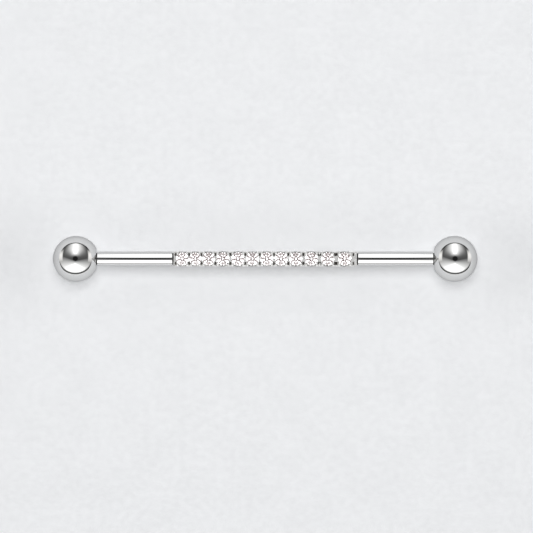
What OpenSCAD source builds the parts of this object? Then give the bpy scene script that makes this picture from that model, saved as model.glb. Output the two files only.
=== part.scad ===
// Industrial barbell: a straight bar with a line of round stones set in its middle and a ball
// screwed onto each end. It lies on its two balls, along X, with the stones facing up.
// The origin is on the surface that it lies on, under its centre.

/* [Overall] */
// Distance between the centres of the two balls
ball_span = 41; // [38:0.5:44]
// Diameter of the bar (14 gauge)
bar_d = 1.6; // [1.5:0.05:1.7]
// Diameter of each ball
ball_d = 5; // [4:0.5:6]

/* [Balls] */
// Radius of the small flat that faces the bar
flat_r = 1.15; // [1:0.05:1.3]
// Width of the groove between that flat and the full bar
mouth_groove = 0.1; // [0.05:0.05:0.2]
// Radius of the hole for the stud
bore_r = 0.62; // [0.62:0.01:0.68]
// Depth of that hole's straight wall
bore_depth = 2.1; // [2:0.05:2.3]

/* [Bar ends] */
// Radius over the crests of the threaded stud
stud_r = 0.6; // [0.5:0.02:0.6]
// Distance from one crest to the next
thread_pitch = 0.25; // [0.2:0.01:0.25]
// Depth of the thread
thread_depth = 0.13; // [0.05:0.01:0.15]
// Number of crests on each stud
thread_turns = 7; // [3:1:7]
// Bevel on the bar's shoulders
bar_bevel = 0.03; // [0.02:0.01:0.1]
// Radius of the short neck beyond each shoulder
neck_r = 0.64; // [0.62:0.01:0.64]

/* [Gem setting] */
// Length of the strip that carries the stones
strip_l = 19.9; // [19.8:0.05:20.2]
// Height of its deck above the bar's axis
deck_z = 0.6; // [0.56:0.01:0.62]
// Width of the groove between the strip and the full bar
joint_groove = 0.1; // [0.05:0.01:0.2]
// Bevel on the top edge at each end
end_bevel = 0.05; // [0.05:0.05:0.2]
// Length of the lead-in around the underside at each end, which eases the strip through a piercing
lead_l = 0.4; // [0.3:0.05:0.5]
// Depth of that lead-in
lead_depth = 0.1; // [0.05:0.05:0.15]
// Radius of the spigot that joins the bar to the strip
spigot_r = 0.3; // [0.2:0.05:0.3]
// Clearance around that spigot, and between faces that meet
contact_gap = 0.02; // [0.01:0.01:0.04]
// Depth of the socket for that spigot
socket_l = 0.5; // [0.3:0.05:0.5]
// Radius of each bead
bead_r = 0.14; // [0.12:0.01:0.15]
// Distance of each bead from the middle line of the strip
bead_y = 0.6; // [0.58:0.01:0.62]
// Distance of each bead from the groove line beside it, where the stones stand close
bead_offset = 0.22; // [0.2:0.01:0.24]
// How far a bead covers the edge of its stone at least, seen from above
bead_bite = 0.02; // [0.01:0.01:0.03]
// Distance from the middle line to the inner end of each groove between the stones
groove_in = 0.32; // [0.3:0.01:0.36]
// Distance from the middle line to its outer end
groove_out = 0.64; // [0.6:0.01:0.68]
// How far the scallop under a stone ends inside the beads on both sides of it
scallop_inset = 0.11; // [0.1:0.01:0.14]
// Height of the scallop's centre above the bar's axis
scallop_z = 0.45; // [0.4:0.01:0.5]

/* [Stones] */
// Height of the girdles above the bar's axis
girdle_z = 0.57; // [0.55:0.01:0.58]
// Thickness of the girdle, as a share of the stone's diameter
girdle_share = 0.03; // [0.02:0.01:0.05]
// Width of the table, as a share of the stone's diameter
table_share = 0.56; // [0.53:0.01:0.6]
// Angle of the crown's main facets
crown_angle = 34.5; // [32:0.5:36]
// Angle of the pavilion's main facets
pavilion_angle = 40.9; // [40:0.1:42]
// Clearance between a stone and its seat
seat_gap = 0.02; // [0.01:0.01:0.03]

/* [Hidden] */
$fn = 96;

// One row for each stone, from left to right: the width of its cell, the diameter of its
// girdle, how far it is turned about its own axis, and the number of groove lines beyond it
CELL_W = 0;
STONE_D = 1;
TURN = 2;
GROOVES = 3;
cells = [
  [1.47, 1.38, 8, 1],
  [1.34, 1.36, 31, 1],
  [1.50, 1.38, 17, 1],
  [1.63, 1.42, 40, 1],
  [1.61, 1.44, 3, 1],
  [1.56, 1.42, 22, 1],
  [1.54, 1.42, 36, 1],
  [1.55, 1.42, 12, 1],
  [1.63, 1.42, 27, 1],
  [1.74, 1.42, 5, 2],
  [1.78, 1.42, 19, 1],
  [1.89, 1.44, 33, 1]
];
last = len(cells) - 1;
// Plain deck between the strip's left end and the first groove
left_margin = 0.25;

axis_z = ball_d / 2;
bar_r = bar_d / 2;
ball_x = ball_span / 2;
// From a ball's centre to its flat
flat_x = sqrt(ball_d * ball_d / 4 - flat_r * flat_r);
// How far each ball is turned about the bar
ball_turn = 18;
// Ends of a length of bar and of its necks, measured from the barbell's centre
shoulder_in = strip_l / 2 + joint_groove;
neck_in = strip_l / 2 + contact_gap;
shoulder_out = ball_x - flat_x - mouth_groove;
neck_out = ball_x - flat_x - contact_gap;
spigot_tip = strip_l / 2 - socket_l + contact_gap;
// The thread begins after a short plain stretch and ends in a bevelled tip
runout = 0.07;
thread_root = stud_r - thread_depth;
thread_start = neck_out + runout;
thread_end = thread_start + thread_turns * thread_pitch;
stud_tip = 0.08;
// Where the flat of a crest begins and ends, as shares of the pitch
crest_from = 0.4;
crest_to = 0.6;
// Lead-in around the mouth of the ball's hole, and half the angle of its drilled end
lead_in = 0.1;
drill_half_angle = 59;
bead_rise = 0.01;
middle_bead_r = 0.12;
// The grooves end this much inside the beads beside them, with this slope
groove_inset = 0.12;
groove_slope = 1.8;
// Half the width of the groove at each end of the row
end_groove = 0.1;
// More than the height of any piece, for cuts that run clear of the metal
clear = 2;

function total(n) = n < 0 ? 0 : total(n - 1) + cells[n][CELL_W];
// The groove line beyond cell n, or the first one for -1
function line_x(n) = -strip_l / 2 + left_margin + total(n);
function stone_x(n) = (line_x(n - 1) + line_x(n)) / 2;
function stone_r(n) = cells[n][STONE_D] / 2;
// How far along the bar a bead stands from the centre of the stone that it holds
function bead_reach(n) = min(cells[n][CELL_W] / 2 - bead_offset,
  sqrt(pow(stone_r(n) + bead_r - bead_bite, 2) - bead_y * bead_y));
function scallop_r(n) = bead_reach(n) - scallop_inset;
// Half the width at deck height of the groove beyond cell n
function groove_half(n) = n < 0 || n == last ? end_groove
  : cells[n][CELL_W] / 2 - bead_reach(n) - groove_inset;

// Heights of a stone of radius r, measured from the middle of its girdle
function girdle_h(r) = r * girdle_share;
function table_r(r) = r * table_share;
function crown_at(r, from) = girdle_h(r) + (r - from) * tan(crown_angle);
function pavilion_at(r, from) = -girdle_h(r) - (r - from) * tan(pavilion_angle);
// The tips of the star facets and of the lower facets lie between two main facets
half_facet = 22.5;
lower_share = 0.23;
function star_r(r) = (r + table_r(r) * cos(half_facet)) / 2;
function lower_r(r) = r * lower_share;

function ring(r, z, count, start) =
  [for (i = [0:count - 1]) [r * cos(start + i * 360 / count), r * sin(start + i * 360 / count), z]];

module steel() { color([0.78, 0.79, 0.8]) children(); }
module clear_gem() { color([0.95, 0.96, 0.98]) children(); }

// A profile turned about the bar: its x is the radius, its y runs along the bar
module turned() { rotate([0, 90, 0]) rotate_extrude() children(); }

module at_axis() { translate([0, 0, axis_z]) children(); }

// The right-hand length of bar: spigot, neck, plain bar, neck and threaded stud
module rod() {
  at_axis() turned() polygon(concat(
    [[0, spigot_tip], [spigot_r, spigot_tip], [spigot_r, neck_in],
     [neck_r, neck_in], [neck_r, shoulder_in],
     [bar_r - bar_bevel, shoulder_in], [bar_r, shoulder_in + bar_bevel],
     [bar_r, shoulder_out - bar_bevel], [bar_r - bar_bevel, shoulder_out],
     [neck_r, shoulder_out], [neck_r, neck_out], [thread_root, neck_out]],
    [for (i = [0:thread_turns - 1]) each [
      [thread_root, thread_start + i * thread_pitch],
      [stud_r, thread_start + (i + crest_from) * thread_pitch],
      [stud_r, thread_start + (i + crest_to) * thread_pitch]]],
    [[thread_root, thread_end], [thread_root - stud_tip, thread_end + stud_tip],
     [0, thread_end + stud_tip]]));
}

// The right-hand ball, with its hole facing the bar
module ball() {
  translate([ball_x, 0, axis_z]) rotate([ball_turn, 0, 0]) rotate([0, 90, 0]) difference() {
    sphere(d = ball_d);
    translate([0, 0, -flat_x - clear]) cylinder(r = ball_d, h = clear);
    rotate_extrude() polygon([
      [0, -flat_x - clear], [bore_r + lead_in + clear, -flat_x - clear],
      [bore_r, -flat_x + lead_in], [bore_r, -flat_x + bore_depth],
      [0, -flat_x + bore_depth + bore_r / tan(drill_half_angle)]]);
  }
}

// The metal that the lead-in takes off the underside of the strip's right end
module lead_cut() {
  intersection() {
    turned() polygon([[bar_r, strip_l / 2 - lead_l], [bar_r + clear, strip_l / 2 - lead_l],
      [bar_r + clear, strip_l / 2 + lead_l], [bar_r - 2 * lead_depth, strip_l / 2 + lead_l]]);
    translate([0, -2 * clear, -4 * clear]) cube([strip_l, 4 * clear, 4 * clear]);
  }
}

// Half-round strip with a flat deck, bevelled at both ends
module strip() {
  difference() {
    rotate([90, 0, 90]) linear_extrude(strip_l, center = true) {
      intersection() {
        circle(d = bar_d);
        translate([-bar_r - clear, -clear]) square([bar_d + 2 * clear, clear]);
      }
      translate([-bar_r, 0]) square([bar_d, deck_z]);
    }
    for (side = [-1, 1]) translate([side * strip_l / 2, 0, deck_z]) rotate([0, 45, 0])
      cube([end_bevel * sqrt(2), clear, end_bevel * sqrt(2)], center = true);
    lead_cut();
    mirror([1, 0, 0]) lead_cut();
  }
}

// Scallop of radius r through the strip under a stone, open at the top
module scallop(r) {
  rotate([90, 0, 0]) linear_extrude(clear, center = true) {
    circle(r = r);
    translate([-r, 0]) square([2 * r, clear]);
  }
}

// V groove on both sides of the middle line, this far to each side of its own line at deck height
module groove(half) {
  for (side = [-1, 1]) translate([0, side * (groove_in + groove_out) / 2, 0])
    rotate([90, 0, 0]) linear_extrude(groove_out - groove_in, center = true)
      polygon([[0, deck_z - half * groove_slope], [2 * half, deck_z + half * groove_slope],
        [-2 * half, deck_z + half * groove_slope]]);
}

// Room for a stone of radius r: pavilion, girdle, crown, and the open space above its table
module seat(r) {
  rotate_extrude() polygon([
    [0, pavilion_at(r, 0) - seat_gap / cos(pavilion_angle)],
    [r + seat_gap, pavilion_at(r, r + seat_gap) - seat_gap / cos(pavilion_angle)],
    [r + seat_gap, crown_at(r, r + seat_gap) + seat_gap / cos(crown_angle)],
    [table_r(r), crown_at(r, table_r(r)) + seat_gap / cos(crown_angle)],
    [table_r(r), clear], [0, clear]]);
}

// One bead on each edge of the strip
module beads(r) {
  for (side = [-1, 1]) translate([0, side * bead_y, deck_z + bead_rise]) sphere(r = r, $fn = 32);
}

function split(n) = n >= 0 && cells[n][GROOVES] == 2;

// The grooves on the line beyond cell n, or on two lines that leave a ridge between them
module grooves_at(n) {
  half = groove_half(n);
  if (split(n)) for (side = [-1, 1]) translate([side * half / 2, 0, 0]) groove(half / 2);
  else groove(half);
}

module gem_setting() {
  steel() at_axis() difference() {
    union() {
      difference() {
        strip();
        for (n = [0:last]) translate([stone_x(n), 0, scallop_z]) scallop(scallop_r(n));
        for (n = [-1:last]) translate([line_x(n), 0, 0]) grooves_at(n);
      }
      for (n = [0:last], side = [-1, 1])
        translate([stone_x(n) + side * bead_reach(n), 0, 0]) beads(bead_r);
      for (n = [0:last]) if (split(n)) translate([line_x(n), 0, 0]) beads(middle_bead_r);
    }
    for (n = [0:last]) translate([stone_x(n), 0, girdle_z]) seat(stone_r(n));
    for (side = [-1, 1]) translate([side * (strip_l / 2 - socket_l / 2 + clear / 2), 0, 0])
      rotate([0, 90, 0]) cylinder(r = spigot_r + contact_gap, h = socket_l + clear, center = true);
  }
}

// Round brilliant of radius r: table, eight star, eight bezel and sixteen upper facets,
// a girdle of sixteen sides, sixteen lower facets and eight pavilion mains
module brilliant(r) {
  T = 0;
  S = 8;
  U = 16;
  D = 32;
  L = 48;
  culet = 56;
  points = concat(
    ring(table_r(r), crown_at(r, table_r(r)), 8, 0),
    ring(star_r(r), crown_at(r, star_r(r) * cos(half_facet)), 8, half_facet),
    ring(r, girdle_h(r), 16, 0),
    ring(r, -girdle_h(r), 16, 0),
    ring(lower_r(r), pavilion_at(r, lower_r(r) * cos(half_facet)), 8, half_facet),
    [[0, 0, pavilion_at(r, 0)]]);
  faces = concat(
    [[for (i = [7:-1:0]) T + i]],
    [for (i = [0:7]) [T + i, T + (i + 1) % 8, S + i]],
    [for (i = [0:7]) [T + i, S + i, U + 2 * i, S + (i + 7) % 8]],
    [for (i = [0:7]) [S + i, U + 2 * i + 1, U + 2 * i]],
    [for (i = [0:7]) [S + i, U + (2 * i + 2) % 16, U + 2 * i + 1]],
    [for (i = [0:15]) [U + i, U + (i + 1) % 16, D + (i + 1) % 16, D + i]],
    [for (i = [0:7]) [L + i, D + 2 * i, D + 2 * i + 1]],
    [for (i = [0:7]) [L + i, D + 2 * i + 1, D + (2 * i + 2) % 16]],
    [for (i = [0:7]) [culet, L + (i + 7) % 8, D + 2 * i, L + i]]);
  polyhedron(points = points, faces = faces, convexity = 2);
}

module stone(n) {
  clear_gem() at_axis() translate([stone_x(n), 0, girdle_z])
    rotate([0, 0, cells[n][TURN]]) brilliant(stone_r(n));
}

module rod_left() { steel() mirror([1, 0, 0]) rod(); }
module rod_right() { steel() rod(); }
module ball_left() { steel() mirror([1, 0, 0]) ball(); }
module ball_right() { steel() ball(); }

rod_left();
rod_right();
gem_setting();
stone(0);  // stone_01
stone(1);  // stone_02
stone(2);  // stone_03
stone(3);  // stone_04
stone(4);  // stone_05
stone(5);  // stone_06
stone(6);  // stone_07
stone(7);  // stone_08
stone(8);  // stone_09
stone(9);  // stone_10
stone(10);  // stone_11
stone(11);  // stone_12
ball_left();
ball_right();
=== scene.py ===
import math
import bmesh
import bpy
from mathutils import Matrix, Vector


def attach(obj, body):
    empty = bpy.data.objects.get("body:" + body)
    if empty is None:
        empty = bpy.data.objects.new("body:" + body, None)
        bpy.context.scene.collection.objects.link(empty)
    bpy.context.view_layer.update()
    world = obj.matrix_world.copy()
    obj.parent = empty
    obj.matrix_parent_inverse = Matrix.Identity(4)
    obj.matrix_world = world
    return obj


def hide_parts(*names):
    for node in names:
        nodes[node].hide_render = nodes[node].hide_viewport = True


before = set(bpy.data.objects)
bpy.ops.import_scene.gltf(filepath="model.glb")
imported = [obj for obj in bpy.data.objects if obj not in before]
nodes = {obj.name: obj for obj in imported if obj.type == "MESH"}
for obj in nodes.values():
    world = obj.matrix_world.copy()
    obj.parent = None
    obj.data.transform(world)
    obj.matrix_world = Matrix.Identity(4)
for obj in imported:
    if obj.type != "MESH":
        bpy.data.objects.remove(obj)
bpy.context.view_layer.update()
mm = 0.001
print("frame loaded:", len(nodes), "nodes")


class Wire:
    # one output socket of a tree; arithmetic on it adds Math nodes
    def __init__(self, tree, socket):
        self.tree = tree
        self.socket = socket

    def calc(self, operation, *values):
        return self.tree.add("ShaderNodeMath", dict(operation=operation), list(values))

    def __add__(self, other): return self.calc("ADD", self, other)
    def __radd__(self, other): return self.calc("ADD", other, self)
    def __sub__(self, other): return self.calc("SUBTRACT", self, other)
    def __rsub__(self, other): return self.calc("SUBTRACT", other, self)
    def __mul__(self, other): return self.calc("MULTIPLY", self, other)
    def __rmul__(self, other): return self.calc("MULTIPLY", other, self)
    def __truediv__(self, other): return self.calc("DIVIDE", self, other)
    def __rtruediv__(self, other): return self.calc("DIVIDE", other, self)
    def __lt__(self, other): return self.calc("LESS_THAN", self, other)
    def __gt__(self, other): return self.calc("GREATER_THAN", self, other)
    def __abs__(self): return self.calc("ABSOLUTE", self)

    def sin(self): return self.calc("SINE", self)
    def arccos(self): return self.calc("ARCCOSINE", self)
    def sqrt(self): return self.calc("SQRT", self)
    def exp(self): return self.calc("EXPONENT", self)
    def angleFrom(self, other): return self.calc("ARCTAN2", self, other)
    def least(self, other): return self.calc("MINIMUM", self, other)
    def most(self, other): return self.calc("MAXIMUM", self, other)

    def ramp(self, low, high):
        # 0 at low and 1 at high, smooth between; low may be the larger one
        ends = [low, high, 0.0, 1.0] if low < high else [high, low, 1.0, 0.0]
        return self.tree.add("ShaderNodeMapRange", dict(interpolation_type="SMOOTHSTEP"),
                             [self] + ends)


class Several(list):
    pass  # links that all go into one multi-input socket


class Tree:
    # a node tree; add makes any node, from its settings and the values or wires of its sockets
    def __init__(self, nodeTree):
        self.tree = nodeTree

    def add(self, kind, settings=None, values=(), out=0):
        node = self.tree.nodes.new(kind)
        for name, value in (settings or {}).items():
            setattr(node, name, value)
        pairs = values.items() if isinstance(values, dict) else enumerate(values)
        for key, value in pairs:
            socket = node.inputs[key]
            for one in value if isinstance(value, Several) else [value]:
                if isinstance(one, Wire):
                    self.tree.links.new(one.socket, socket)
                else:
                    socket.default_value = one
        return Wire(self, node.outputs[out]) if len(node.outputs) else None

    def split(self, vector):
        first = self.add("ShaderNodeSeparateXYZ", None, [vector])
        return [Wire(self, socket) for socket in first.socket.node.outputs]

    def join(self, x, y, z):
        return self.add("ShaderNodeCombineXYZ", None, [x, y, z])

    def mixColour(self, share, first, second):
        return self.add("ShaderNodeMix", dict(data_type="RGBA", clamp_factor=True),
                        {0: share, 6: first, 7: second}, out=2)

    def noise(self, place, scale, detail, roughness):
        return self.add("ShaderNodeTexNoise", dict(noise_dimensions="3D"), {
            "Vector": place, "Scale": scale, "Detail": detail, "Roughness": roughness})

    def bump(self, height, strength=1.0, distance=mm):
        return self.add("ShaderNodeBump", None,
                        {"Strength": strength, "Distance": distance, "Height": height})


def rgb(r, g=None, b=None):
    return (r, r if g is None else g, r if b is None else b, 1.0)


def dimmed(colour, share):
    return tuple(share * c for c in colour[:3]) + (1.0,)


# meshes: their sizes are in mm until finishedMesh makes them m

sharpAngle = 32  # degrees between two faces, from which their edge stays sharp


def filleted(profile, steps=4):
    # rows of (along, radius, fillet); a corner with a fillet becomes a short arc
    mostOfSide = 0.45
    points = []
    for i, (x, r, fillet) in enumerate(profile):
        corner = Vector((x, r))
        if not fillet:
            points.append(corner)
            continue
        before = Vector(profile[i - 1][:2]) - corner
        after = Vector(profile[i + 1][:2]) - corner
        reach = min(fillet, before.length * mostOfSide, after.length * mostOfSide)
        start = corner + before.normalized() * reach
        end = corner + after.normalized() * reach
        for step in range(steps + 1):
            t = step / steps
            points.append(start * (1 - t) ** 2 + corner * 2 * t * (1 - t) + end * t ** 2)
    return points


def turnedMesh(name, profile, segments, centre=(0.0, 0.0, 0.0), upright=False):
    # a profile of (along, radius) points, turned about X, or about Z if upright
    onAxis = 1e-6
    bm = bmesh.new()
    rings = []
    for along, radius in profile:
        if radius < onAxis:
            rings.append([bm.verts.new((along, 0.0, 0.0))])
            continue
        rings.append([bm.verts.new((along, radius * math.cos(a), radius * math.sin(a)))
                      for a in (2 * math.pi * k / segments for k in range(segments))])
    for low, high in zip(rings, rings[1:]):
        for k in range(segments):
            n = (k + 1) % segments
            if len(low) == 1 and len(high) == 1:
                break
            if len(low) == 1:
                bm.faces.new((low[0], high[n], high[k]))
            elif len(high) == 1:
                bm.faces.new((low[k], low[n], high[0]))
            else:
                bm.faces.new((low[k], low[n], high[n], high[k]))
    if upright:
        bmesh.ops.rotate(bm, verts=bm.verts, matrix=Matrix.Rotation(math.radians(-90), 3, "Y"))
    bmesh.ops.translate(bm, verts=bm.verts, vec=centre)
    return finishedMesh(name, bm)


def finishedMesh(name, bm):
    bmesh.ops.recalc_face_normals(bm, faces=bm.faces)
    bmesh.ops.scale(bm, verts=bm.verts, vec=(mm, mm, mm))
    mesh = bpy.data.meshes.new(name)
    bm.to_mesh(mesh)
    bm.free()
    smoothShaded(mesh)
    return mesh


def smoothShaded(mesh, sharpAbove=sharpAngle):
    mesh.shade_smooth()
    mesh.set_sharp_from_angle(angle=math.radians(sharpAbove))


def placed(name, data):
    obj = bpy.data.objects.new(name, data)
    bpy.context.scene.collection.objects.link(obj)
    return obj


def discard(*objs):
    for obj in objs:
        bpy.data.objects.remove(obj)


def grownFrom(name, obj, tree, inputs):
    # runs a Geometry Nodes tree on obj and gives the result as a plain mesh
    modifier = obj.modifiers.new("grow", "NODES")
    modifier.node_group = tree
    for item in tree.interface.items_tree:
        if item.item_type == "SOCKET" and item.in_out == "INPUT" and item.name in inputs:
            modifier[item.identifier] = inputs[item.name]
    bpy.context.view_layer.update()
    seen = bpy.context.evaluated_depsgraph_get()
    mesh = bpy.data.meshes.new_from_object(obj.evaluated_get(seen), depsgraph=seen)
    mesh.name = name
    obj.modifiers.remove(modifier)
    for i in reversed(range(len(mesh.materials))):
        if mesh.materials[i] is None:   # left by a cutting tool
            mesh.materials.pop(index=i)
    return mesh


def newGrowth(name, sockets):
    # an empty Geometry Nodes tree with these named inputs, and a wire from each of them
    group = bpy.data.node_groups.new(name, "GeometryNodeTree")
    group.interface.new_socket("Geometry", in_out="OUTPUT", socket_type="NodeSocketGeometry")
    for label, kind in sockets:
        group.interface.new_socket(label, in_out="INPUT", socket_type="NodeSocket" + kind)
    tree = Tree(group)
    entry = group.nodes.new("NodeGroupInput")
    wires = {label: Wire(tree, entry.outputs[label]) for label, kind in sockets}
    return group, tree, wires


def endGrowth(group, tree, geometry, material):
    real = tree.add("GeometryNodeRealizeInstances", None, [geometry])
    painted = tree.add("GeometryNodeSetMaterial", None, {"Geometry": real, "Material": material})
    tree.add("NodeGroupOutput", None, [painted])
    return group


# materials: patterns follow Object coordinates, heights for bumps are in mm, and a span of
# noise is where its effect begins and where it is full

def newSurface(name):
    material = bpy.data.materials.new(name)
    material.use_nodes = True
    material.node_tree.nodes.clear()
    tree = Tree(material.node_tree)
    return material, tree, tree.add("ShaderNodeTexCoord", out=3)


def endSurface(tree, values):
    shader = tree.add("ShaderNodeBsdfPrincipled", None, values)
    tree.add("ShaderNodeOutputMaterial", None, {"Surface": shader})


def scratches(tree, place, along, size, seed):
    # long thin marks: noise squeezed across their own direction
    lengthwise = 0.06
    stretch = [1.0 / size] * 3
    stretch[along] = lengthwise / size
    moved = tree.add("ShaderNodeMapping", dict(vector_type="POINT"), {
        "Vector": place, "Location": (seed, seed * 0.7, seed * 0.3), "Scale": stretch})
    return tree.noise(moved, 1.0, detail=3.0, roughness=0.6)


steelFinish = dict(
    colour=rgb(0.71, 0.71, 0.705),
    cloudScale=900.0,      # clouds in a metre
    cloudShades=(0.3, 0.7),
    cloudShare=0.5,        # how far a cloud takes the colour towards the dimmer one
    cloudColour=0.985,
    cloudRoughs=(0.45, 0.75),
    cloudRoughness=0.02,
    cloudDepth=0.000004,
    roughness=0.035,       # a mirror polish
    scratchSpan=(0.62, 0.78),
    scratchRoughness=0.05,
    scratchSize=0.05,      # mm across a polishing mark
    scratchDepth=0.000012,
    crossSize=1.4,         # marks around the bar are this much wider than those along it
    crossSpan=(0.66, 0.8),
    crossShare=0.7,        # and this much as strong
    edgeColour=rgb(0.6),   # how much of the colour is left where the metal is seen edge-on
    # painted shade: the dark colour of the joint grooves
    jointShadeColour=rgb(0.06, 0.058, 0.056),
    neckRadius=0.7,        # metal nearer to the axis than this, in a joint, is left dull, and painted dark as the shade in the joint groove
    neckRoughness=0.55,
    boreShadeColour=rgb(0.45),  # the tapped hole isn't polished, and its wall is painted darker as the shade inside the hole
    boreRoughness=0.2,
)


def polishedSteel(name, finish, jointShadeSpans=(), bore=None, seed=1.0):
    material, tree, place = newSurface(name)
    x, y, z = tree.split(place)
    fine = scratches(tree, place, 0, finish["scratchSize"] * mm, seed)
    cross = scratches(tree, place, 1, finish["scratchSize"] * mm * finish["crossSize"], seed + 3)
    cloud = tree.noise(place, finish["cloudScale"], detail=4.0, roughness=0.55)
    marks = cross.ramp(*finish["crossSpan"]) * finish["crossShare"]
    marks = fine.ramp(*finish["scratchSpan"]).most(marks)
    up = z - axisHeight * mm
    fromAxis = (y * y + up * up).sqrt()
    roughness = finish["roughness"] + marks * finish["scratchRoughness"]
    roughness = roughness + cloud.ramp(*finish["cloudRoughs"]) * finish["cloudRoughness"]
    height = marks * -finish["scratchDepth"] + cloud * finish["cloudDepth"]
    shade = cloud.ramp(*finish["cloudShades"]) * finish["cloudShare"]
    colour = tree.mixColour(shade, finish["colour"],
                            dimmed(finish["colour"], finish["cloudColour"]))
    jointShade = None
    for low, high in jointShadeSpans:
        span = (abs(x) > low * mm) * (abs(x) < high * mm)
        jointShade = span if jointShade is None else jointShade.most(span)
    # painted shade: near the axis, in the joint grooves, the colour is made dark
    if jointShade is not None:
        jointShade = jointShade * (fromAxis < finish["neckRadius"] * mm)
        colour = tree.mixColour(jointShade, colour, finish["jointShadeColour"])
        roughness = roughness * (1 - jointShade) + jointShade * finish["neckRoughness"]
    # inside the tapped hole: rougher, and painted darker as shade
    if bore:
        inside = (fromAxis < bore["radius"] * mm) * (abs(x) > bore["start"] * mm)
        roughness = roughness + inside * finish["boreRoughness"]
        colour = tree.mixColour(inside, colour, finish["boreShadeColour"])
    endSurface(tree, {
        "Base Color": colour, "Metallic": 1.0, "Roughness": roughness,
        "Specular Tint": finish["edgeColour"], "Normal": tree.bump(height)})
    return material


stoneFinish = dict(
    colour=rgb(0.985, 0.985, 0.99),
    refraction=2.15,       # cubic zirconia
    smear=0.35,            # share of the surface that carries a trace of grease or dust
    smearScale=2600.0,
    smearRoughness=0.06,
)


def clearStone(name, finish):
    material, tree, place = newSurface(name)
    film = tree.noise(place, finish["smearScale"], detail=3.0, roughness=0.6)
    endSurface(tree, {
        "Base Color": finish["colour"], "Metallic": 0.0, "IOR": finish["refraction"],
        "Roughness": film.ramp(1 - finish["smear"], 1.0) * finish["smearRoughness"],
        "Transmission Weight": 1.0})
    return material


barbell = dict(
    ballSpan=41.0,       # between the centres of the balls
    barDiameter=1.6,
    ballDiameter=5.0,
    flatRadius=1.15,     # flat on each ball that faces the bar
    mouthGroove=0.1,
    contactGap=0.02,
)
axisHeight = barbell["ballDiameter"] / 2
barRadius = barbell["barDiameter"] / 2
ballX = barbell["ballSpan"] / 2
mouthX = ballX - math.sqrt(axisHeight ** 2 - barbell["flatRadius"] ** 2)  # the ball's flat
shoulderOut = mouthX - barbell["mouthGroove"]
neckOut = mouthX - barbell["contactGap"]
axisPoint = (0.0, 0.0, axisHeight)
margin = 0.01   # how far the limit of a colour or of the tapped wall lies past its edge


# the row of stones and the strip that carries them

settingSizes = dict(
    length=19.9,
    leftMargin=0.25,
    deck=0.6,            # height of the deck above the axis
    endBevel=0.05,
    leadLength=0.4,      # lead-in around the underside at each end
    leadDepth=0.1,
    roundSteps=48,       # faces of the half-round underside
    edgeRound=0.012,
    jointGroove=0.1,
    socketRadius=0.32,
    socketDepth=0.5,
    beadRadius=0.14,
    middleBeadRadius=0.12,
    beadY=0.6,
    beadOffset=0.22,
    beadBite=0.02,
    beadRise=0.01,
    scallopInset=0.11,
    scallopHeight=0.45,
    scallopSteps=32,
    grooveInset=0.12,
    grooveSlope=1.8,
    pitInside=0.32,      # the grooves reach from here to there, on both sides of the middle line
    pitOutside=0.64,
    endGroove=0.1,
    girdleHeight=0.57,
    girdleShare=0.03,
    tableShare=0.56,
    crownAngle=34.5,
    pavilionAngle=40.9,
    seatGap=0.026,
    sharpAbove=24,       # the beads meet the deck at a low angle
)
# width of each stone's cell, diameter of the stone, grooves beyond it
cellTable = [
    (1.47, 1.38, 1), (1.34, 1.36, 1), (1.50, 1.38, 1), (1.63, 1.42, 1), (1.61, 1.44, 1),
    (1.56, 1.42, 1), (1.54, 1.42, 1), (1.55, 1.42, 1), (1.63, 1.42, 1), (1.74, 1.42, 2),
    (1.78, 1.42, 1), (1.89, 1.44, 1),
]


def pointCloud(name, rows, columns=()):
    # loose points with one float attribute for each column
    mesh = bpy.data.meshes.new(name)
    mesh.from_pydata([row[0] * mm for row in rows], [], [])
    for i, column in enumerate(columns):
        layer = mesh.attributes.new(column, "FLOAT", "POINT")
        for k, row in enumerate(rows):
            layer.data[k].value = row[i + 1]
    return placed(name, mesh)


def stoneRow(s):
    # where each stone, groove and middle bead goes, by the rule that sets the beads
    stones, lines, middles = [], [], []
    edge = -s["length"] / 2 + s["leftMargin"]
    for i, (width, diameter, grooves) in enumerate(cellTable):
        radius = diameter / 2
        held = math.sqrt((radius + s["beadRadius"] - s["beadBite"]) ** 2 - s["beadY"] ** 2)
        reach = min(width / 2 - s["beadOffset"], held)
        if i == 0:
            lines.append((edge, s["endGroove"]))
        stones.append((edge + width / 2, radius, reach, reach - s["scallopInset"]))
        edge += width
        isLast = i == len(cellTable) - 1
        half = s["endGroove"] if isLast else width / 2 - reach - s["grooveInset"]
        if grooves == 2:
            lines += [(edge - half / 2, half / 2), (edge + half / 2, half / 2)]
            middles.append(edge)
        else:
            lines.append((edge, half))
    return stones, lines, middles


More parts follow.
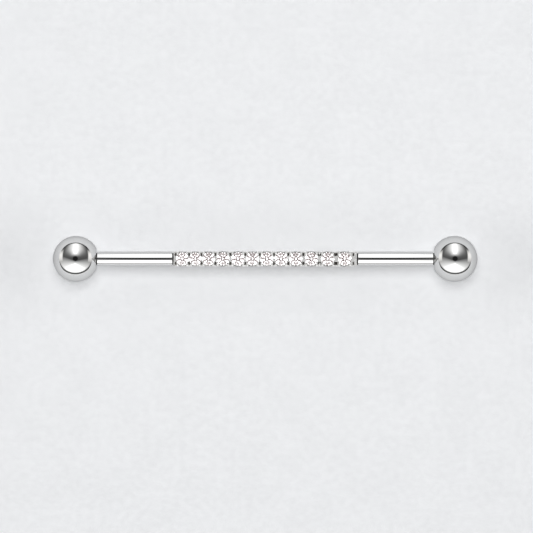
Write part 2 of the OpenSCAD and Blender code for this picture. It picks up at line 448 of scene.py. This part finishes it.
def stripBlank(s):
    # half-round below, square above, with its end bevels, lead-ins and small rounds
    half = s["length"] / 2
    steps = s["roundSteps"]
    sections = []
    for x in (-half, -half + s["endBevel"], -half + s["leadLength"],
              half - s["leadLength"], half - s["endBevel"], half):
        fromEnd = half - abs(x)
        inset = s["leadDepth"] * max(0.0, 1 - fromEnd / s["leadLength"])
        top = s["deck"] - max(0.0, s["endBevel"] - fromEnd)
        ring = [(barRadius - inset) * Vector((0, math.cos(a), math.sin(a)))
                for a in (math.pi + math.pi * k / steps for k in range(steps + 1))]
        ring += [Vector((0, y, z)) for y, z in (
            (barRadius, 0), (barRadius, top), (-barRadius, top), (-barRadius, 0))]
        sections.append([p + Vector((x, 0, axisHeight)) for p in ring])
    bm = bmesh.new()
    rings = [[bm.verts.new(p) for p in ring] for ring in sections]
    count = len(rings[0])
    for low, high in zip(rings, rings[1:]):
        for k in range(count):
            n = (k + 1) % count
            bm.faces.new((low[k], low[n], high[n], high[k]))
    bm.faces.new(rings[0])
    bm.faces.new(list(reversed(rings[-1])))
    bmesh.ops.remove_doubles(bm, verts=bm.verts, dist=1e-5)
    bmesh.ops.recalc_face_normals(bm, faces=bm.faces)
    sharp = [e for e in bm.edges
             if e.is_manifold and e.calc_face_angle(0) > math.radians(sharpAngle)]
    bmesh.ops.bevel(bm, geom=sharp, offset=s["edgeRound"], segments=2, profile=0.6,
                    affect="EDGES", clamp_overlap=True)
    bmesh.ops.triangulate(bm, faces=bm.faces)
    return placed("stripBlank", finishedMesh("stripBlank", bm))


def prism(name, outline, spans):
    # an (x, z) outline, once for each span of y
    bm = bmesh.new()
    for span in spans:
        ends = [[bm.verts.new((x, y, z)) for x, z in outline] for y in span]
        bm.faces.new(ends[0])
        bm.faces.new(list(reversed(ends[1])))
        for k in range(len(outline)):
            n = (k + 1) % len(outline)
            bm.faces.new((ends[0][k], ends[1][k], ends[1][n], ends[0][n]))
    return placed(name, finishedMesh(name, bm))


def cuttingTools(s):
    # tools for a radius or half width of 1, which the tree scales, and wide and tall enough
    # to run clear of the strip: a stone's seat, the scallop under it and a groove
    crown = math.tan(math.radians(s["crownAngle"]))
    pavilion = math.tan(math.radians(s["pavilionAngle"]))
    table = s["tableShare"]
    girdle = s["girdleShare"]
    top = 4
    seat = [(-girdle - pavilion, 0), (-girdle, 1), (girdle, 1),
            (girdle + (1 - table) * crown, table), (top, table), (top, 0)]
    seatTool = placed("seatTool", turnedMesh("seatTool", seat, segments=64, upright=True))

    steps = s["scallopSteps"]
    bowl = [(math.cos(a), math.sin(a))
            for a in (math.pi + math.pi * k / steps for k in range(steps + 1))]
    scallopTool = prism("scallopTool", bowl + [(1, 3), (-1, 3)], [(-2, 2)])

    slope = s["grooveSlope"]
    pits = [(-s["pitOutside"], -s["pitInside"]), (s["pitInside"], s["pitOutside"])]
    grooveTool = prism("grooveTool", [(0, -slope), (2, slope), (-2, slope)], pits)
    return seatTool, scallopTool, grooveTool


def socketTools(s):
    # the two sockets that the ends of the bar go into
    bm = bmesh.new()
    for side in (-1, 1):
        end = side * s["length"] / 2
        low, high = sorted((end - side * s["socketDepth"], end + side))
        profile = [(low, 0), (low, s["socketRadius"]), (high, s["socketRadius"]), (high, 0)]
        bm.from_mesh(turnedMesh("socket", profile, segments=48, centre=axisPoint))
    mesh = bpy.data.meshes.new("sockets")
    bm.to_mesh(mesh)
    bm.free()
    return placed("sockets", mesh)


def settingTree(s):
    group, tree, given = newGrowth("bead setting", [
        ("Geometry", "Geometry"), ("Stones", "Object"), ("Lines", "Object"), ("Middles", "Object"),
        ("Seat tool", "Object"), ("Scallop tool", "Object"), ("Groove tool", "Object"),
        ("Sockets", "Object"), ("Bead radius", "Float"), ("Middle bead radius", "Float"),
        ("Bead distance", "Float"), ("Seat clearance", "Float"), ("Material", "Material")])

    def shapeOf(label):
        return tree.add("GeometryNodeObjectInfo", dict(transform_space="ORIGINAL"),
                        {"Object": given[label], "As Instance": False}, out=4)

    def number(name):
        return tree.add("GeometryNodeInputNamedAttribute", dict(data_type="FLOAT"), {"Name": name})

    def spread(points, tool, scale=(1.0, 1.0, 1.0)):
        return tree.add("GeometryNodeInstanceOnPoints", None,
                        {"Points": points, "Instance": tool, "Scale": scale})

    def lifted(points, dx, dy, dz):
        return tree.add("GeometryNodeSetPosition", None,
                        {"Geometry": points, "Offset": tree.join(dx, dy, dz)})

    def cut(body, *tools):
        return tree.add("GeometryNodeMeshBoolean", dict(operation="DIFFERENCE", solver="MANIFOLD"),
                        {"Mesh 1": body, "Mesh 2": Several(tools)})

    def beadOf(label):
        return tree.add("GeometryNodeMeshUVSphere", None,
                        {"Segments": 32, "Rings": 16, "Radius": given[label]})

    stones = shapeOf("Stones")
    lines = shapeOf("Lines")
    middles = shapeOf("Middles")
    scallopSize = number("scallop")
    grooveSize = number("half")
    scallops = spread(lifted(stones, 0.0, 0.0, (s["scallopHeight"] - s["girdleHeight"]) * mm),
                      shapeOf("Scallop tool"), tree.join(scallopSize, 1.0, scallopSize))
    grooves = spread(lines, shapeOf("Groove tool"), tree.join(grooveSize, 1.0, grooveSize))
    carved = cut(given["Geometry"], scallops, grooves)

    reach = number("reach") * mm
    distance = given["Bead distance"]
    rise = (s["deck"] + s["beadRise"] - s["girdleHeight"]) * mm
    corners = [lifted(stones, reach * sx, distance * sy, rise)
               for sx in (-1.0, 1.0) for sy in (-1.0, 1.0)]
    bead = beadOf("Bead radius")
    smallBead = beadOf("Middle bead radius")
    beads = [spread(corner, bead) for corner in corners]
    beads += [spread(lifted(middles, 0.0, distance * side, 0.0), smallBead) for side in (-1.0, 1.0)]
    beaded = tree.add("GeometryNodeMeshBoolean", dict(operation="UNION", solver="MANIFOLD"),
                      {"Mesh 2": Several([carved] + beads)})

    seats = spread(stones, shapeOf("Seat tool"), number("radius") + given["Seat clearance"])
    whole = cut(beaded, seats, shapeOf("Sockets"))
    return endGrowth(group, tree, whole, given["Material"])


def gemSetting(s, material):
    stones, lines, middles = stoneRow(s)
    girdle = axisHeight + s["girdleHeight"]
    deck = axisHeight + s["deck"]
    stonePoints = pointCloud("stonePoints",
                             [(Vector((x, 0, girdle)), *sizes) for x, *sizes in stones],
                             ("radius", "reach", "scallop"))
    linePoints = pointCloud("linePoints", [(Vector((x, 0, deck)), half) for x, half in lines],
                            ("half",))
    middlePoints = pointCloud("middlePoints", [(Vector((x, 0, deck + s["beadRise"])),)
                                               for x in middles])
    seatTool, scallopTool, grooveTool = cuttingTools(s)
    sockets = socketTools(s)
    blank = stripBlank(s)
    mesh = grownFrom("gemSetting", blank, settingTree(s), {
        "Stones": stonePoints, "Lines": linePoints, "Middles": middlePoints,
        "Seat tool": seatTool, "Scallop tool": scallopTool, "Groove tool": grooveTool,
        "Sockets": sockets, "Bead radius": s["beadRadius"] * mm,
        "Middle bead radius": s["middleBeadRadius"] * mm, "Bead distance": s["beadY"] * mm,
        "Seat clearance": s["seatGap"], "Material": material})
    discard(stonePoints, linePoints, middlePoints,
            seatTool, scallopTool, grooveTool, sockets, blank)
    smoothShaded(mesh, s["sharpAbove"])
    return placed("gemSetting", mesh)


settingFinish = dict(
    colour=rgb(0.92, 0.917, 0.905),
    grainShades=(0.3, 0.7),
    grainColour=0.9,       # the grain dims the colour down to this share
    beadColour=rgb(0.88, 0.877, 0.868),
    pasteAndShade=rgb(0.42, 0.4, 0.38),   # polishing paste left in the grooves, and painted shade in them
    recessDepth=0.05,      # mm below the deck
    recessFade=0.02,       # mm to the ends of a groove
    roughness=0.5,         # the cut metal between the stones keeps the graver's marks
    grainRoughs=(0.4, 0.7),
    grainRoughness=0.1,
    grainSize=0.035,       # mm
    grainDepth=0.0009,
    markShare=0.6,         # the graver's marks, beside the grain
    polishedRoughness=0.08,
    brushRoughs=(0.55, 0.75),
    brushRoughness=0.1,
    polishShare=0.9,       # how much of the relief a polish takes off
    beadHeights=(0.01, 0.04),      # mm above the deck, where a bead's polish begins and is full
    underHeights=(0.05, -0.05),    # the same for the underside, from the axis
    sideDepths=(0.015, 0.005),     # and for the sides, within the strip's width
    plainHeights=(-0.03, -0.01),   # and for the plain ends, brushed along the bar
    brushSize=0.02,
    brushDepth=0.06,
    plainRoughness=0.3,
)


def cutSteel(name, finish, s, plainEnds):
    material, tree, place = newSurface(name)
    x, y, z = tree.split(place)
    grain = tree.noise(place, 1 / (2 * finish["grainSize"] * mm), detail=3.0, roughness=0.6)
    marks = scratches(tree, place, 1, finish["grainSize"] * mm, 4.0)
    brushed = scratches(tree, place, 0, finish["brushSize"] * mm, 6.0)
    height = z - (axisHeight + s["deck"]) * mm

    # the beads, the sides and the underside are polished like the bar
    bead = height.ramp(*(h * mm for h in finish["beadHeights"]))
    under = (z - axisHeight * mm).ramp(*(h * mm for h in finish["underHeights"]))
    sides = abs(y).ramp(*((barRadius - d) * mm for d in finish["sideDepths"]))
    polish = bead.most(under).most(sides)
    worn = finish["roughness"] + grain.ramp(*finish["grainRoughs"]) * finish["grainRoughness"]
    bright = brushed.ramp(*finish["brushRoughs"]) * finish["brushRoughness"]
    bright = finish["polishedRoughness"] + bright
    roughness = worn * (1 - polish) + bright * polish
    colour = tree.mixColour(grain.ramp(*finish["grainShades"]), finish["colour"],
                            dimmed(finish["colour"], finish["grainColour"]))
    colour = tree.mixColour(polish, colour, finish["beadColour"])

    # paste in the grooves, with painted shade that darkens deeper below the deck
    fade = finish["recessFade"]
    pasteAndShadeMask = height.ramp(-fade * mm, -finish["recessDepth"] * mm)
    pasteAndShadeMask = pasteAndShadeMask * abs(y).ramp((s["pitOutside"] + fade) * mm, s["pitOutside"] * mm)
    pasteAndShadeMask = pasteAndShadeMask * (abs(x) < (s["length"] / 2 - margin) * mm)
    colour = tree.mixColour(pasteAndShadeMask, colour, finish["pasteAndShade"])

    relief = grain * finish["grainDepth"] + marks * (finish["grainDepth"] * finish["markShare"])
    relief = relief * (1 - polish * finish["polishShare"])
    plain = (x < plainEnds[0] * mm).most(x > plainEnds[1] * mm)
    plain = plain * height.ramp(*(h * mm for h in finish["plainHeights"]))
    relief = relief * (1 - plain) + brushed * plain * finish["brushDepth"]
    roughness = roughness * (1 - plain) + plain * finish["plainRoughness"]
    endSurface(tree, {"Base Color": colour, "Metallic": 1.0, "Roughness": roughness,
                      "Normal": tree.bump(relief)})
    return material


endLines = [stoneRow(settingSizes)[1][i][0] for i in (0, -1)]
settingSteel = cutSteel("settingSteel", settingFinish, settingSizes, plainEnds=(
    endLines[0] - settingSizes["endGroove"], endLines[1] + settingSizes["endGroove"]))
gemStrip = gemSetting(settingSizes, settingSteel)
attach(gemStrip, "bar")
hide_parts("gem_setting")
print("setting:", len(gemStrip.data.polygons), "faces")


# the two lengths of bar

rodSizes = dict(
    segments=128,
    neckRadius=0.64,
    shoulderRound=0.03,
    spigotRadius=0.3,
    spigotRound=0.04,
    spigotTip=9.47,
    threadRoot=0.47,
    threadCrest=0.6,
    threadPitch=0.25,
    threadTurns=7,
    runout=0.07,
    tip=0.08,
    tipRound=0.03,
    ridgeFrom=0.6,       # where the ridge starts, as a share of the runout
    ridgeShort=0.15,     # turns that the ridge ends before the thread's end
    ridgeSink=0.01,      # how far it reaches into the core
    ridgeFoot=0.94,      # its widths, as shares of the pitch
    ridgeCrest=0.16,
    ridgeSwell=2.5,      # share of its height that it gains in a turn, at both ends
    ridgeLeast=0.02,
)


def threadTree(s):
    # a right-handed screw ridge along X, joined to its core
    group, tree, given = newGrowth("stud thread", [
        ("Geometry", "Geometry"), ("Start", "Float"), ("Turns", "Float"), ("Pitch", "Float"),
        ("Root radius", "Float"), ("Crest radius", "Float"), ("Height", "Float"),
        ("Material", "Material")])
    depth = given["Crest radius"] - given["Root radius"]
    middle = given["Root radius"] + depth * 0.5
    helix = tree.add("GeometryNodeCurveSpiral", None, {
        "Resolution": 64, "Rotations": given["Turns"], "Start Radius": middle,
        "End Radius": middle, "Height": given["Pitch"] * given["Turns"], "Reverse": True})
    helix = tree.add("GeometryNodeSetCurveNormal", dict(mode="Z_UP"), {"Curve": helix})
    share = tree.add("GeometryNodeSplineParameter")
    swell = share.least(1 - share) * given["Turns"] * s["ridgeSwell"]
    helix = tree.add("GeometryNodeSetCurveRadius", None, {
        "Curve": helix, "Radius": swell.least(1.0).most(s["ridgeLeast"])})
    form = tree.add("GeometryNodeCurvePrimitiveQuadrilateral", dict(mode="TRAPEZOID"), {
        "Bottom Width": given["Pitch"] * s["ridgeFoot"],
        "Top Width": given["Pitch"] * s["ridgeCrest"],
        "Offset": 0.0, "Height": depth})
    form = tree.add("GeometryNodeTransform", None,
                    {"Geometry": form, "Rotation": (0, 0, math.radians(-90))})
    ridge = tree.add("GeometryNodeCurveToMesh", None,
                     {"Curve": helix, "Profile Curve": form, "Fill Caps": True})
    laid = tree.add("GeometryNodeTransform", None, {
        "Geometry": ridge, "Rotation": (0, math.radians(90), 0),
        "Translation": tree.join(given["Start"], 0.0, given["Height"])})
    whole = tree.add("GeometryNodeMeshBoolean", dict(operation="UNION", solver="MANIFOLD"),
                     {"Mesh 2": Several([given["Geometry"], laid])})
    return endGrowth(group, tree, whole, given["Material"])


def onItsSide(name, mesh, side):
    # made on the right; the left one is turned and not mirrored, to keep its thread right-handed
    smoothShaded(mesh)
    if side < 0:
        mesh.transform(Matrix.Rotation(math.pi, 4, "Z"))
    return placed(name, mesh)


def rod(name, s, side, material, thread):
    shoulderIn = settingSizes["length"] / 2 + settingSizes["jointGroove"]
    neckIn = settingSizes["length"] / 2 + barbell["contactGap"]
    threadEnd = neckOut + s["runout"] + s["threadTurns"] * s["threadPitch"]
    profile = [
        (s["spigotTip"], 0, 0), (s["spigotTip"], s["spigotRadius"], s["spigotRound"]),
        (neckIn, s["spigotRadius"], 0), (neckIn, s["neckRadius"], 0),
        (shoulderIn, s["neckRadius"], 0), (shoulderIn, barRadius, s["shoulderRound"]),
        (shoulderOut, barRadius, s["shoulderRound"]), (shoulderOut, s["neckRadius"], 0),
        (neckOut, s["neckRadius"], 0), (neckOut, s["threadRoot"], 0),
        (threadEnd, s["threadRoot"], 0),
        (threadEnd + s["tip"], s["threadRoot"] - s["tip"], s["tipRound"]),
        (threadEnd + s["tip"], 0, 0)]
    plain = placed("plainRod", turnedMesh("plainRod", filleted(profile), s["segments"], axisPoint))
    mesh = grownFrom(name, plain, thread, {
        "Start": (neckOut + s["runout"] * s["ridgeFrom"]) * mm,
        "Turns": s["threadTurns"] - s["ridgeShort"], "Pitch": s["threadPitch"] * mm,
        "Root radius": (s["threadRoot"] - s["ridgeSink"]) * mm,
        "Crest radius": s["threadCrest"] * mm, "Height": axisHeight * mm, "Material": material})
    discard(plain)
    obj = onItsSide(name, mesh, side)
    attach(obj, "bar")
    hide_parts("rod_right" if side > 0 else "rod_left")
    return obj


halfStrip = settingSizes["length"] / 2
# the joints, where the shade in the grooves is painted dark
rodSteel = polishedSteel("rodSteel", steelFinish, seed=2.0, jointShadeSpans=[
    (halfStrip - margin, halfStrip + settingSizes["jointGroove"] + margin),
    (shoulderOut - margin, neckOut + margin)])
studThread = threadTree(rodSizes)
rods = [rod("rodLeft", rodSizes, -1, rodSteel, studThread),
        rod("rodRight", rodSizes, 1, rodSteel, studThread)]
print("rods:", [len(o.data.polygons) for o in rods], "faces")


# the two balls

ballSizes = dict(
    segments=160,
    arcSteps=96,
    boreRadius=0.62,
    boreDepth=2.1,
    leadIn=0.1,
    leadRound=0.02,
    drillHalfAngle=59,
    flatRound=0.04,
    threadPitch=0.25,
    threadDepth=0.08,
    threadSteps=12,      # rings of faces in one turn of the thread
    threadFade=0.08,     # from plain wall to full thread, at both ends
    threadStop=0.2,      # plain wall at the bottom of the hole
)


def tappedTree():
    # a right-handed thread cut outwards into the wall of a hole along X
    group, tree, given = newGrowth("tapped hole", [
        ("Geometry", "Geometry"), ("Start", "Float"), ("End", "Float"), ("Fade", "Float"),
        ("Pitch", "Float"), ("Within radius", "Float"), ("Depth", "Float"), ("Height", "Float"),
        ("Material", "Material")])
    x, y, z = tree.split(tree.add("GeometryNodeInputPosition"))
    up = z - given["Height"]
    fromAxis = (y * y + up * up).sqrt()
    turns = x / given["Pitch"] - up.angleFrom(y) / (2 * math.pi)
    wave = (turns * (2 * math.pi)).sin() * 0.5 + 0.5
    toEnd = (x - given["Start"]).least(given["End"] - x) / given["Fade"]
    depth = wave * toEnd.least(1.0).most(0.0) * given["Depth"] * (fromAxis < given["Within radius"])
    away = depth / fromAxis.most(given["Depth"])
    moved = tree.add("GeometryNodeSetPosition", None, {
        "Geometry": given["Geometry"], "Offset": tree.join(0.0, y * away, up * away)})
    return endGrowth(group, tree, moved, given["Material"])


def ball(name, s, side, material, tapped):
    radius = axisHeight
    floorX = mouthX + s["boreDepth"]
    wall = s["boreDepth"] - s["leadIn"]
    rings = round(wall / s["threadPitch"] * s["threadSteps"])
    drillTip = floorX + s["boreRadius"] / math.tan(math.radians(s["drillHalfAngle"]))
    start = math.asin(barbell["flatRadius"] / radius)
    arc = [start + (math.pi - start) * k / s["arcSteps"] for k in range(s["arcSteps"] + 1)]
    outside = [(ballX - radius * math.cos(a), radius * math.sin(a)) for a in arc]
    profile = [(drillTip, 0, 0)]
    profile += [(floorX - wall * k / rings, s["boreRadius"], 0) for k in range(rings - 1)]
    profile += [(mouthX + s["leadIn"], s["boreRadius"], s["leadRound"]),
                (mouthX, s["boreRadius"] + s["leadIn"], s["leadRound"]),
                (*outside[0], s["flatRound"]), (*outside[1], 0)]
    points = filleted(profile) + [Vector(point) for point in outside[2:]]
    plain = placed("plainBall", turnedMesh("plainBall", points, s["segments"], axisPoint))
    mesh = grownFrom(name, plain, tapped, {
        "Start": (mouthX + s["leadIn"]) * mm, "End": (floorX - s["threadStop"]) * mm,
        "Fade": s["threadFade"] * mm, "Pitch": s["threadPitch"] * mm,
        "Within radius": (s["boreRadius"] + margin) * mm, "Depth": s["threadDepth"] * mm,
        "Height": axisHeight * mm, "Material": material})
    discard(plain)
    obj = onItsSide(name, mesh, side)
    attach(obj, "right_ball" if side > 0 else "left_ball")
    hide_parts("ball_right" if side > 0 else "ball_left")
    return obj


ballSteel = polishedSteel("ballSteel", steelFinish, seed=9.0, bore=dict(
    radius=ballSizes["boreRadius"] + ballSizes["threadDepth"] + margin,
    start=mouthX + ballSizes["leadIn"] + margin))
tappedHole = tappedTree()
balls = [ball("ballLeft", ballSizes, -1, ballSteel, tappedHole),
         ball("ballRight", ballSizes, 1, ballSteel, tappedHole)]
print("balls:", [len(o.data.polygons) for o in balls], "faces")


# the stones keep the cut that the frame gives them

gem = clearStone("clearStone", stoneFinish)
stoneNames = sorted(n for n in nodes if n.startswith("stone_"))
for stoneName in stoneNames:
    for stoneSlot in nodes[stoneName].material_slots:
        stoneSlot.material = gem
print("stones:", len(stoneNames))


# floor, light and camera

paper = dict(
    colour=rgb(0.8, 0.81, 0.825),
    radius=2.0,           # m
    glow=0.55,            # the paper lies on a light table
    farGlow=1.18,         # times as much glow away from the barbell, full from this many m
    farFrom=0.009,
    frontGlow=1.3,        # and in front of it, out of the picture, between these many m
    frontSpan=(-0.03, -0.08),
    grain=0.08,           # share of the paper's lightness that its grain takes
    coarseScale=260.0,
    coarseSpan=(0.35, 0.65),
    fineScale=1500.0,
    fineSpan=(0.3, 0.7),
    fineShare=0.75,
    bumpStrength=0.15,
    bumpDistance=0.00002,
    roughness=0.8,
    specular=0.2,
)


def paperFloor(s):
    bm = bmesh.new()
    bmesh.ops.create_circle(bm, segments=96, radius=s["radius"], cap_ends=True)
    mesh = bpy.data.meshes.new("floor")
    bm.to_mesh(mesh)
    bm.free()
    material, tree, place = newSurface("paperFloor")
    coarse = tree.noise(place, s["coarseScale"], detail=3.0, roughness=0.5)
    fine = tree.noise(place, s["fineScale"], detail=3.0, roughness=0.6)
    share = coarse.ramp(*s["coarseSpan"]) * (1 - s["fineShare"])
    share = share + fine.ramp(*s["fineSpan"]) * s["fineShare"]
    colour = tree.mixColour(share, s["colour"], dimmed(s["colour"], 1 - s["grain"]))
    y = tree.split(place)[1]
    level = 1 + abs(y).ramp(0.0, s["farFrom"]) * (s["farGlow"] - 1)
    level = level.most(y.ramp(*s["frontSpan"]) * s["frontGlow"])
    glow = tree.add("ShaderNodeMix", dict(data_type="RGBA", blend_type="MULTIPLY"),
                    {0: 1.0, 6: colour, 7: level}, out=2)
    endSurface(tree, {
        "Base Color": colour, "Roughness": s["roughness"], "Specular IOR Level": s["specular"],
        "Normal": tree.bump(fine, s["bumpStrength"], s["bumpDistance"]),
        "Emission Color": glow, "Emission Strength": s["glow"]})
    mesh.materials.append(material)
    floor = placed("floor", mesh)


# spans are (where it begins, where it is full); angles are degrees from straight above, or
# around from the back; other places are parts of a direction's x, y and z, or of overTable
tent = dict(
    darkness=0.08,            # light from the parts of the studio that nothing lights
    hotCentre=0.6,            # how much brighter the lights are where they already look white
    upperPeak=1.5,            # back lamp: a round glow behind the diffuser
    upperWidth=38,
    upperNarrowing=18,
    upperNarrows=(55, 92),
    upperBegins=(10, 31),
    upperFade=0.1,
    upperFades=(45, 60),
    lowerPeak=1.16,           # front panel: brightest at its middle, fading towards the sides
    lowerEdge=(0.35, 0.08, 0.18),   # where it ends: shares of the distance to the side and of x
    lowerRise=(0.7, 0.18),    # how soon it is full: a share of the distance to the side
    lowerMost=1.3,
    lowerBegins=(-0.02, 0.25),
    tableBow=-0.1,            # the table's edge, bowed towards the sides and tilted
    tableTilt=0.176,
    tableBegins=(-0.02, -0.05),
    wallLight=1.15,           # side walls, below the dark opening at the top
    wallColour=rgb(1.0, 0.985, 0.965),
    wallUp=(0.208, 0.978),    # y and z of their upward direction
    wallSteep=(1.9, 2.9),
    wallBack=(45, 75),
    wallFront=(125, 75),
    frontSeam=0.8,            # seams: how much light they take
    frontSeamTop=(0.13, 0.05),
    frontSeamFoot=(-0.08, -0.04),
    backSeam=0.9,
    backSeamTop=(0.13, 0.08),
    backSeamWidth=(65, 48),
    holeLight=0.018,          # the dark hole that the lens looks through
    holeShift=0.025,
    holeSize=(0.055, 0.048),  # squares of half its size, in x and y
    holeEdge=(0.78, 1.1),
)


def lightTent(s):
    # the surroundings, written as brightness by direction: +Y is the back of the tent
    world = bpy.data.worlds.new("studio")
    bpy.context.scene.world = world
    world.use_nodes = True
    world.node_tree.nodes.clear()
    tree = Tree(world.node_tree)
    x, y, z = tree.split(tree.add("ShaderNodeTexCoord", out=0))
    side = abs(x)
    fromTop = z.arccos() * (180 / math.pi)
    fromBack = side.angleFrom(y) * (180 / math.pi)
    overTable = z - (side * side * s["tableBow"] - y * s["tableTilt"])

    def heated(light):
        return light + (light - 1).most(0.0) * s["hotCentre"]

    spread = fromBack / (s["upperWidth"] - fromTop.ramp(*s["upperNarrows"]) * s["upperNarrowing"])
    upper = (spread * spread * -1).exp() * s["upperPeak"]
    upper = upper * fromTop.ramp(*s["upperBegins"])
    upper = heated(upper * (1 - fromTop.ramp(*s["upperFades"]) * s["upperFade"]))

    edge, rise = s["lowerEdge"], s["lowerRise"]
    reach = (side * edge[0] - x * edge[1] - edge[2] - y) / (side * rise[0] + rise[1])
    lower = reach.most(0.0).least(s["lowerMost"]) * s["lowerPeak"]
    lower = heated(lower * overTable.ramp(*s["lowerBegins"]))

    tilted = y * s["wallUp"][0] + z * s["wallUp"][1]
    wall = (side / tilted.most(0.001)).ramp(*s["wallSteep"]) * s["wallLight"]
    wall = wall * fromBack.ramp(*s["wallBack"]) * fromBack.ramp(*s["wallFront"])

    bright = upper.most(lower).most(wall) + s["darkness"]
    inFront = y < 0.0
    table = overTable.ramp(*s["tableBegins"]) * inFront
    frontSeam = overTable.ramp(*s["frontSeamTop"]) * overTable.ramp(*s["frontSeamFoot"]) * inFront
    backSeam = z.ramp(*s["backSeamTop"]) * fromBack.ramp(*s["backSeamWidth"])
    bright = bright * (1 - table) + table
    bright = bright * (1 - frontSeam * s["frontSeam"]) * (1 - backSeam * s["backSeam"])

    low = y - s["holeShift"]
    hole = (x * x / s["holeSize"][0] + low * low / s["holeSize"][1]).sqrt()
    bright = bright * hole.ramp(*s["holeEdge"]) + s["holeLight"]
    colour = tree.mixColour(wall.least(1.0), rgb(1.0), s["wallColour"])
    shade = tree.add("ShaderNodeBackground", None, {"Color": colour, "Strength": bright})
    tree.add("ShaderNodeOutputWorld", None, {"Surface": shade})
    world.cycles_visibility.diffuse = False   # the paper isn't lit by it


# width and length in m, degrees from straight above, degrees around from the back, brightness,
# colour and what the lamp lights; the metal mirrors the tent alone
lamps = dict(
    keyLamp=(0.28, 0.28, 13, 0, 5.95, (1.0, 1.0, 1.0), "paper"),
    fillLamp=(1.2, 1.2, 0, 0, 0.2, (1.0, 0.7, 0.68), "stones"),
    backLamp=(0.5, 0.7, 53, 0, 2.5, (1.0, 1.0, 1.0), "stones"),
    frontLamp=(0.75, 0.65, 48, 180, 2.5, (1.0, 1.0, 1.0), "stones"),
    leftLamp=(0.12, 0.16, 50, 270, 0.9, (1.0, 0.45, 0.25), "stones"),
    rightLamp=(0.12, 0.16, 50, 90, 0.9, (1.0, 0.45, 0.25), "stones"),
)
lampDistance = 0.5  # m


def studioLamps(rows):
    for name, (width, length, down, around, brightness, colour, subject) in rows.items():
        data = bpy.data.lights.new(name, "AREA")
        data.shape = "ELLIPSE"
        data.size = width
        data.size_y = length
        data.energy = brightness * math.pi * (math.pi * width * length / 4)
        data.color = colour
        lamp = placed(name, data)
        turn = Matrix.Rotation(math.radians(-around), 4, "Z")
        turn = turn @ Matrix.Rotation(math.radians(-down), 4, "X")
        lamp.matrix_world = turn @ Matrix.Translation((0, 0, lampDistance))
        lamp.visible_glossy = False
        lamp.visible_transmission = subject == "stones"
        lamp.visible_diffuse = subject == "paper"


photoFrame = dict(width=57.76, centre=(0.14, -0.82), lens=200.0, sensor=36.0)  # mm


def photoCamera(s):
    # straight above; the width is that of the picture at the height of the bar's axis
    data = bpy.data.cameras.new("camera")
    data.sensor_width = s["sensor"]
    data.lens = s["lens"]
    data.clip_start = 0.01
    data.clip_end = 10.0
    distance = s["width"] * s["lens"] / s["sensor"]
    camera = placed("camera", data)
    camera.location = Vector((*s["centre"], distance + axisHeight)) * mm
    bpy.context.scene.camera = camera


paperFloor(paper)
lightTent(tent)
studioLamps(lamps)
photoCamera(photoFrame)
bpy.context.scene.view_settings.view_transform = "Standard"
print("stage ready")
